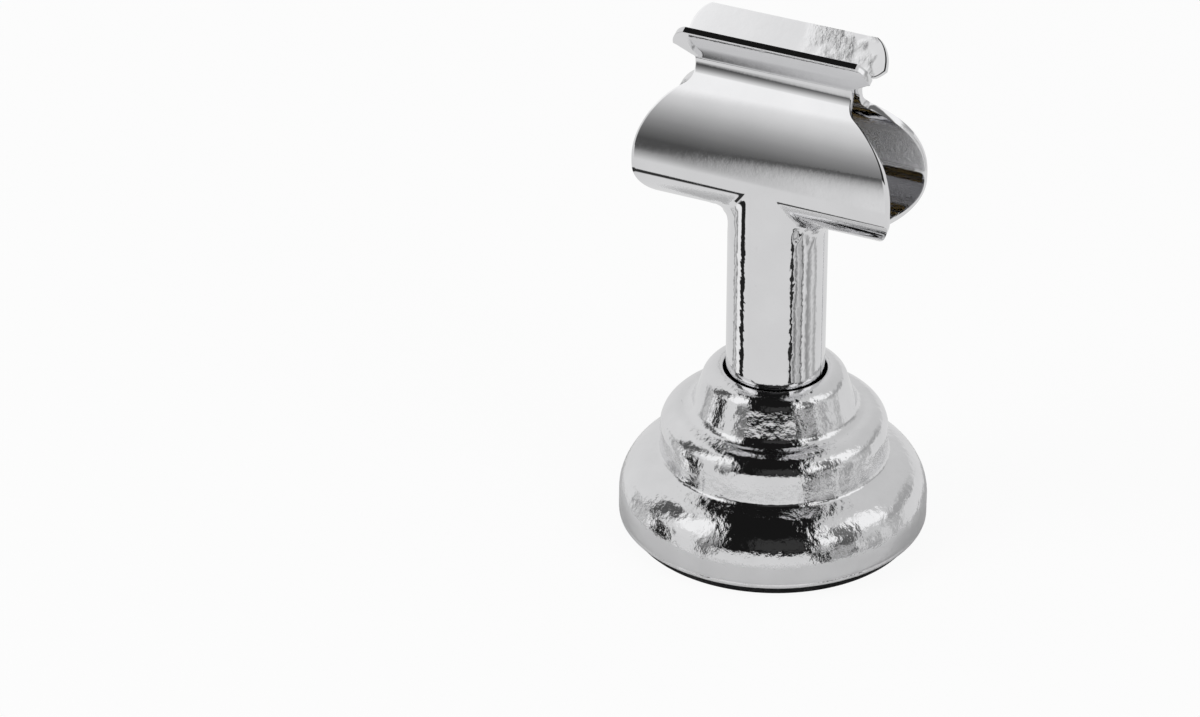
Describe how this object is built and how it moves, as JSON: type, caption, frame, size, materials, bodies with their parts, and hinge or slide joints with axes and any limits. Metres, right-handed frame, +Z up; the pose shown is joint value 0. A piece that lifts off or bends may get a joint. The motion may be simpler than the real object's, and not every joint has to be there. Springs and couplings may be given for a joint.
{
  "type": "place card holder",
  "caption": "Small table stand for a place card: a sprung two-jaw clip on a short round stem over a stepped, domed, weighted base with a soft foot pad.",
  "frame": {"origin": "centre of the foot pad's underside, on the table", "axes": "+Z up along the stem, X along the clip's pinch line, -Y towards the front jaw"},
  "size_m": [0.032, 0.032, 0.0564],
  "materials": {
    "bright_plate": "bright plated, slightly rippled",
    "bright_sheet": "bright plated sheet",
    "cast_weight": "as cast",
    "foot_rubber": "matt",
    "turned_brass": "turned",
    "plain_steel": "plain"
  },
  "bodies": {
    "stand": {"base_shell": "bright_plate", "ballast_weight": "cast_weight", "foot_pad": "foot_rubber", "stem_plug": "turned_brass", "base_screw": "plain_steel", "screw_washer": "plain_steel", "front_stem_half": "bright_sheet", "back_stem_half": "bright_sheet"},
    "front_clip": {"front_jaw": "bright_sheet"},
    "back_clip": {"back_jaw": "bright_sheet"}
  },
  "joints": [
    {"name": "front_jaw_spring", "type": "hinge", "parent": "stand", "child": "front_clip", "pos_m": [0, -0.0046, 0.0414], "axis": [1, 0, 0], "range_deg": [0, 7], "stiffness_Nm_per_rad": 0.5},
    {"name": "back_jaw_spring", "type": "hinge", "parent": "stand", "child": "back_clip", "pos_m": [0, 0.0046, 0.0414], "axis": [-1, 0, 0], "range_deg": [0, 7], "stiffness_Nm_per_rad": 0.5}
  ]
}
